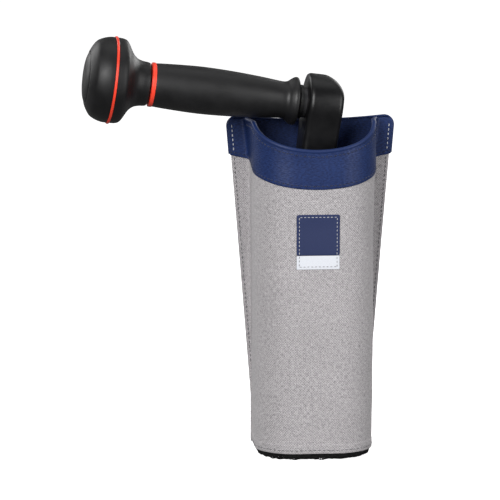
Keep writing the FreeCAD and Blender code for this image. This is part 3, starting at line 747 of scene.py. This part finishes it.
NET_FLOOR = NET[0].z + 0.0004                       # the height of the drain net's flat part
NET_CELL = 0.0017                                   # the radius of one hexagon
NET_RIM = 0.0045                                    # the flat part ends this far inside the base
SKIRT_ROWS, SKIRT_STEP, SKIRT_TUCK = 6, 0.0015, 0.0035


def wired(piece, thickness):
    """Turn a surface of the bag into a black net of wires."""
    wires = piece.modifiers.new("Wires", "WIREFRAME")
    wires.thickness, wires.use_replace = thickness, True
    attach(piece, "bag")


def make_net_floor():
    """The drain net's flat part: a mesh of hexagons with a slight sag."""
    shape = bmesh.new()
    corners = {}
    row_step, column_step = 1.5 * NET_CELL, math.sqrt(3) * NET_CELL
    for row in range(-1, int(POUCH_DEPTH / row_step) + 2):
        for column in range(-40, 41):
            x = (column + 0.5 * (row % 2)) * column_step
            y = -row * row_step
            if not in_base(x, y, NET_RIM):
                continue
            face = []
            for n in range(6):
                angle = math.radians(60 * n + 30)
                px, py = x + NET_CELL * math.cos(angle), y + NET_CELL * math.sin(angle)
                key = (round(px * 1e5), round(py * 1e5))
                if key not in corners:
                    sag = 0.0006 * noise.noise(Vector((px, py, 0)) * 60)
                    corners[key] = shape.verts.new((px, py, NET_FLOOR + sag))
                face.append(corners[key])
            shape.faces.new(face)
    net = finished("net_floor", shape, NET_BLACK)
    wired(net, 0.0007)
    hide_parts("mesh_base")


def make_net_skirt():
    """The net's side: gathered, ruffled, and tucked up inside the hem."""
    grid = []
    for r in range(SKIRT_ROWS + 1):
        up = r / SKIRT_ROWS
        inset = SKIRT_TUCK * (1 - math.sqrt(1 - (1 - up)**2))
        ring = []
        for point, normal, _ in walk(base_loop(inset), SKIRT_STEP):
            seed = point * 190.0
            ruffle = 0.0014 * noise.noise(Vector((seed.x, seed.y, 2.0 * up))) * (1 - up)
            droop = -0.0022 * abs(noise.noise(Vector((seed.x, seed.y, 9.0)))) * (1 - up)
            z = blend(NET_FLOOR, HEM + 0.0025, up) + droop
            ring.append(Vector((point.x, point.y, z)) + normal * ruffle)
        grid.append(ring)
    count = min(len(ring) for ring in grid)
    grid = [[ring[int(n * len(ring) / count)] for n in range(count)] + [ring[0]] for ring in grid]
    wired(grid_object("net_skirt", grid, NET_BLACK), 0.0009)


# ---------------------------------------------------------------- the handle's skins

def joint(name):
    return next(j for j in frame["joints"] if j["name"] == name)


GRIP_START = Vector(joint("grip_spin")["pos_m"])
ALONG = Vector(joint("grip_spin")["axis"]).normalized()
DRIVE = Vector(joint("lock_turn")["pos_m"])
REACH = (GRIP_START - DRIVE).length
UP = (GRIP_START - DRIVE).normalized()
SIDE = UP.cross(ALONG).normalized()


def reach_of(node):
    """Where a turned part starts and stops along the grip, and its greatest radius, in millimetres."""
    spots = [v.co - GRIP_START for v in frame["nodes"][node].data.vertices]
    stations = [s.dot(ALONG) for s in spots]
    radii = [(s - ALONG * s.dot(ALONG)).length for s in spots]
    return [1000 * value for value in (min(stations), max(stations), max(radii))]


def smooth_run(points, steps=8):
    """A smooth curve through a run of (station, radius) points."""
    if len(points) == 2:
        return [points[0], points[1]]
    padded = [points[0]] + list(points) + [points[-1]]
    line = []
    for a, b, c, d in zip(padded, padded[1:], padded[2:], padded[3:]):
        for n in range(steps):
            t = n / steps
            line.append(tuple(
                0.5 * (2 * b[i] + (c[i] - a[i]) * t + (2 * a[i] - 5 * b[i] + 4 * c[i] - d[i]) * t**2
                       + (3 * b[i] - a[i] - 3 * c[i] + d[i]) * t**3) for i in (0, 1)))
    return line + [points[-1]]


def turned(name, runs, finish, body, node, bevel=0.0005, sides=112):
    """A skin turned about the grip's axis from runs of (station, radius), a corner between runs."""
    profile = []
    for run in runs:
        line = smooth_run(run)
        profile += line if not profile else line[1:]
    shape = bmesh.new()
    rings = []
    for station, radius in profile:
        centre = GRIP_START + ALONG * station
        if radius < 1e-6:
            rings.append([shape.verts.new(centre)])
            continue
        ring = []
        for n in range(sides):
            angle = 2 * math.pi * n / sides
            ring.append(shape.verts.new(centre + (SIDE * math.cos(angle) + UP * math.sin(angle)) * radius))
        rings.append(ring)
    pairs = list(zip(rings, rings[1:]))
    if len(rings[0]) > 1 and len(rings[-1]) > 1:
        pairs.append((rings[-1], rings[0]))
    for a, b in pairs:
        for n in range(sides):
            m = (n + 1) % sides
            if len(a) == 1 and len(b) == 1:
                continue
            if len(a) == 1:
                shape.faces.new((a[0], b[n], b[m]))
            elif len(b) == 1:
                shape.faces.new((a[n], b[0], a[m]))
            else:
                shape.faces.new((a[n], b[n], b[m], a[m]))
    bmesh.ops.recalc_face_normals(shape, faces=shape.faces)
    piece = finished(name, shape, finish)
    edge = piece.modifiers.new("Edge", "BEVEL")
    edge.width, edge.segments, edge.limit_method, edge.angle_limit = bevel, 3, "ANGLE", math.radians(35)
    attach(piece, body)
    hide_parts(node)


BORE = 12.2                                         # inside radius of the grip's and the knob's skins
BAND_SEAT = 15.6                                    # radius under the grip's red band
RING_SEAT = 29.8                                    # radius under the knob's red ring


def mm(*points):
    """Points given in millimetres, in metres."""
    return [(g * 0.001, r * 0.001) for g, r in points]


def make_grip():
    """The grip's rubber skin and its red band. Stations and radii here are in millimetres."""
    a, b, _ = reach_of("grip_sleeve")
    turned("grip_skin", [
        mm((a, BORE), (a, 16.8)),
        mm((a, 16.8), (a + 0.6, 18.4), (a + 1.8, 19.0), (10.2, 18.7), (12.6, 17.2), (15.4, 15.1),
           (18.8, 14.5), (25.0, 15.0), (38.0, 16.3), (60.0, 17.8), (83.0, 18.5), (104.0, 17.9),
           (b - 1.0, 17.0), (b, 16.3)),
        mm((b, 16.3), (b, BORE)),
        mm((b, BORE), (a, BORE))],
        RUBBER, "grip", "grip_sleeve")
    a, b, r = reach_of("grip_ring")
    turned("grip_band", [
        mm((a, BORE), (a, BAND_SEAT)),
        mm((a, BAND_SEAT), (a + 0.3, BAND_SEAT)),
        mm((a + 0.3, BAND_SEAT), (a + 0.3, r)),
        mm((a + 0.3, r), ((a + b) / 2, r + 0.15), (b - 0.3, r)),
        mm((b - 0.3, r), (b - 0.3, BAND_SEAT)),
        mm((b - 0.3, BAND_SEAT), (b, BAND_SEAT)),
        mm((b, BAND_SEAT), (b, BORE))],
        RED, "grip", "grip_ring", bevel=0.0003)


def make_knob():
    """The palm knob's two shells, the red ring between them and the cap, in millimetres."""
    a, b, _ = reach_of("knob_rear_shell")
    turned("knob_rear_skin", [
        mm((a, BORE), (a, 15.8)),
        mm((a, 15.8), (a + 0.6, 16.7), (a + 2.5, 17.2), (a + 6.0, 17.6), (134.5, 18.9), (138.0, 21.8),
           (140.6, 25.8), (142.5, 29.2), (144.6, 31.9), (147.5, 33.1), (b, 33.4)),
        mm((b, 33.4), (b, 30.0)),
        mm((b, 30.0), (146.5, 28.0), (143.0, 21.0), (138.0, 15.0), (a, BORE))],
        KNOB, "knob", "knob_rear_shell")
    a, b, r = reach_of("knob_ring")
    turned("knob_band", [
        mm((a, RING_SEAT), (a, r - 1.0)),
        mm((a, r - 1.0), (a + 0.3, r), ((a + b) / 2, r + 0.25), (b - 0.3, r), (b, r - 1.0)),
        mm((b, r - 1.0), (b, RING_SEAT))],
        RED, "knob", "knob_ring", bevel=0.0002)
    a, b, _ = reach_of("knob_front_shell")
    turned("knob_front_skin", [
        mm((a, RING_SEAT), (a, 33.4)),
        mm((a, 33.4), (157.5, 33.3), (161.5, 32.4), (165.5, 30.7), (168.0, 28.9), (170.3, 25.7),
           (171.9, 22.7), (b, 20.9)),
        mm((b, 20.9), (170.6, 20.7)),
        mm((170.6, 20.7), (167.0, 20.0), (161.0, 28.0), (a, RING_SEAT))],
        KNOB, "knob", "knob_front_shell", bevel=0.0003)
    a, b, r = reach_of("knob_palm_cap")
    turned("knob_cap_skin", [
        mm((a, 0.0), (a, r - 0.3)),
        mm((a, r - 0.3), (172.1, r - 0.3)),
        mm((172.1, r - 0.3), (173.1, r - 1.3), (174.6, 14.5), (175.3, 8.0), (b, 0.0))],
        KNOB, "knob", "knob_palm_cap", bevel=0.0004)


def eased(margin, radius):
    """How far a face stands back near an end that is rounded with this radius."""
    if margin >= radius:
        return 0.0
    return radius - math.sqrt(max(0.0, radius**2 - (radius - margin)**2))


ARM_WAIST, ARM_RUN = 0.0155, 0.062                  # half width between the ends; how far each end tapers
ARM_JOIN = math.radians(25)                         # where the round ends meet the tapers
ARM_TAPER = 2.2
ARM_CORNER = 0.0042
ARM_INNER_LOW = 0.005                               # how far the inner face stands back at the low end
INNER_ROUND, OUTER_ROUND, OUTER_ROUND_LOW = 0.0026, 0.016, 0.004
LOW_END = 0.012                                     # the stretch that the low end's thickness is read from


def make_arm():
    """The forged arm, lofted down its length from rounded sections."""
    spots = [v.co - GRIP_START for v in frame["nodes"]["arm"].data.vertices]
    top = max(s.dot(UP) for s in spots)
    foot = min(s.dot(UP) for s in spots)
    thick_top = -min(s.dot(ALONG) for s in spots)
    outer_low = -min(s.dot(ALONG) for s in spots if s.dot(UP) < foot + LOW_END)
    boss = -foot - REACH
    heights = [top * math.sin(math.radians(a)) for a in range(90, -26, -4)]
    heights += [blend(heights[-1], -ARM_RUN, n / 8) for n in range(1, 9)]
    join_top, join_low = -top * math.sin(ARM_JOIN), -REACH + boss * math.sin(ARM_JOIN)
    heights += [blend(-ARM_RUN, -(REACH - ARM_RUN), n / 14) for n in range(1, 15)]
    heights += [blend(-(REACH - ARM_RUN), join_low, n / 8) for n in range(1, 9)]
    heights += [-REACH + boss * math.sin(math.radians(a)) for a in range(21, -91, -4)] + [foot]

    def half_width(t):
        """Half the arm's width at a height above the grip's axis."""
        if t >= join_top:
            return math.sqrt(max(0.0, top**2 - t**2))
        if t <= join_low:
            return math.sqrt(max(0.0, boss**2 - (t + REACH)**2))
        if t > -ARM_RUN:
            share = (join_top - t) / (join_top + ARM_RUN)
            return blend(top * math.cos(ARM_JOIN), ARM_WAIST, 1 - (1 - share)**ARM_TAPER)
        if t < -(REACH - ARM_RUN):
            share = (t - join_low) / (-(REACH - ARM_RUN) - join_low)
            return blend(boss * math.cos(ARM_JOIN), ARM_WAIST, 1 - (1 - share)**ARM_TAPER)
        return ARM_WAIST

    shape = bmesh.new()
    rings = []
    for t in heights:
        half = max(half_width(t), 0.0004)
        margin = min(top - t, t - foot)
        share = min(1.0, max(0.0, (-t - ARM_RUN) / (REACH - ARM_RUN - boss)))
        inner = -blend(0.0, ARM_INNER_LOW, share) - eased(margin, INNER_ROUND)
        outer_round = OUTER_ROUND if t > 0 else OUTER_ROUND_LOW
        outer = -blend(thick_top, outer_low, share) + eased(margin, outer_round)
        middle, half_thick = (inner + outer) / 2, (inner - outer) / 2
        turn = min(ARM_CORNER, half * 0.6, half_thick * 0.8)
        ring = []
        for quarter, (side_x, side_y) in enumerate(((1, 1), (-1, 1), (-1, -1), (1, -1))):
            for n in range(7):
                angle = math.radians(90 * quarter + 15 * n)
                px = side_x * (half_thick - turn) + turn * math.cos(angle)
                py = side_y * (half - turn) + turn * math.sin(angle)
                ring.append(shape.verts.new(GRIP_START + UP * t + ALONG * (middle + px) + SIDE * py))
        rings.append(ring)
    for a, b in zip(rings, rings[1:]):
        for n in range(len(a)):
            m = (n + 1) % len(a)
            shape.faces.new((a[n], a[m], b[m], b[n]))
    shape.faces.new(rings[0])
    shape.faces.new(list(reversed(rings[-1])))
    bmesh.ops.recalc_face_normals(shape, faces=shape.faces)
    arm = finished("arm_skin", shape, ALLOY)
    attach(arm, "handle")
    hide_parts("arm")


# ---------------------------------------------------------------- studio

AZIMUTH, ELEVATION = math.radians(-5.4), math.radians(8.0)
DISTANCE = 2.5
VIEW_WIDTH = 0.395
SENSOR = 36.0
AIM_RIGHT, AIM_UP, AIM_TOWARD = -0.0476, 0.022, 0.028
FLOOR_HALF = 8.0
FLOOR_GLOW = 0.9
AMBIENT, BACKDROP = 0.17, 1.0                       # the world's strength for light, and as it is seen


def make_camera():
    """A long lens a little to the left of and above the bag."""
    toward = Vector((math.sin(AZIMUTH) * math.cos(ELEVATION),
                     -math.cos(AZIMUTH) * math.cos(ELEVATION), math.sin(ELEVATION)))
    right = Vector((math.cos(AZIMUTH), math.sin(AZIMUTH), 0))
    up = toward.cross(right)
    aim = right * AIM_RIGHT + up * AIM_UP + toward * AIM_TOWARD
    lens = bpy.data.cameras.new("Camera")
    lens.sensor_width = SENSOR
    lens.lens = SENSOR * DISTANCE / VIEW_WIDTH
    lens.clip_start, lens.clip_end = 0.05, 30.0
    camera = linked("Camera", lens)
    camera.matrix_world = Matrix.Translation(aim + toward * DISTANCE) @ Matrix(
        (right, up, toward)).transposed().to_4x4()
    bpy.context.scene.camera = camera


LIT_SPOT = Vector((-0.03, -0.03, 0.02))


def softbox(name, place, size, power):
    """A rectangular light turned toward the object."""
    light = bpy.data.lights.new(name, "AREA")
    light.shape, light.size, light.size_y, light.energy = "RECTANGLE", size[0], size[1], power
    lamp = linked(name, light)
    lamp.location = place
    lamp.rotation_euler = (LIT_SPOT - Vector(place)).to_track_quat("-Z", "Y").to_euler()


def make_studio():
    """A white floor and white surroundings, with soft boxes all round, the strongest in front."""
    ground = CAD_BOUNDS[0].z - 0.001
    shape = bmesh.new()
    spots = [(-1, -1), (1, -1), (1, 1), (-1, 1)]
    shape.faces.new([shape.verts.new((x * FLOOR_HALF, y * FLOOR_HALF, ground)) for x, y in spots])
    paper = Finish("paper", (0.92, 0.92, 0.92), 0.9)
    paper.shader.inputs["Emission Color"].default_value = (1.0, 1.0, 1.0, 1.0)
    paper.shader.inputs["Emission Strength"].default_value = FLOOR_GLOW
    floor = finished("floor", shape, paper.made)
    floor.visible_glossy = floor.visible_diffuse = False
    world = bpy.data.worlds.new("World")
    bpy.context.scene.world = world
    world.use_nodes = True
    nodes, links = world.node_tree.nodes, world.node_tree.links
    backdrop, rays = nodes["Background"], nodes.new("ShaderNodeLightPath")
    level = nodes.new("ShaderNodeMapRange")
    level.inputs["To Min"].default_value, level.inputs["To Max"].default_value = AMBIENT, BACKDROP
    links.new(rays.outputs["Is Camera Ray"], level.inputs["Value"])
    links.new(level.outputs["Result"], backdrop.inputs["Strength"])
    backdrop.inputs["Color"].default_value = (1.0, 1.0, 1.0, 1.0)
    softbox("key", (-1.1, -1.8, 0.95), (1.3, 1.3), 52.0)
    softbox("fill", (1.4, -1.4, 0.5), (1.0, 1.4), 24.0)
    softbox("top", (0.0, 0.1, 1.6), (1.4, 1.0), 4.0)
    softbox("back_left", (-1.4, 1.3, 0.9), (1.0, 1.2), 14.0)
    softbox("back_right", (1.2, 1.5, 0.9), (1.0, 1.2), 16.0)
    settings = bpy.context.scene.view_settings
    settings.view_transform = "Standard"
    settings.look = "None"


# ---------------------------------------------------------------- make everything

paint_frame()
make_camera()
make_front()
make_collar()
make_back()
make_rim()
make_collar_edge()
make_stitches()
make_label()
make_net_floor()
make_net_skirt()
make_grip()
make_knob()
make_arm()
make_studio()
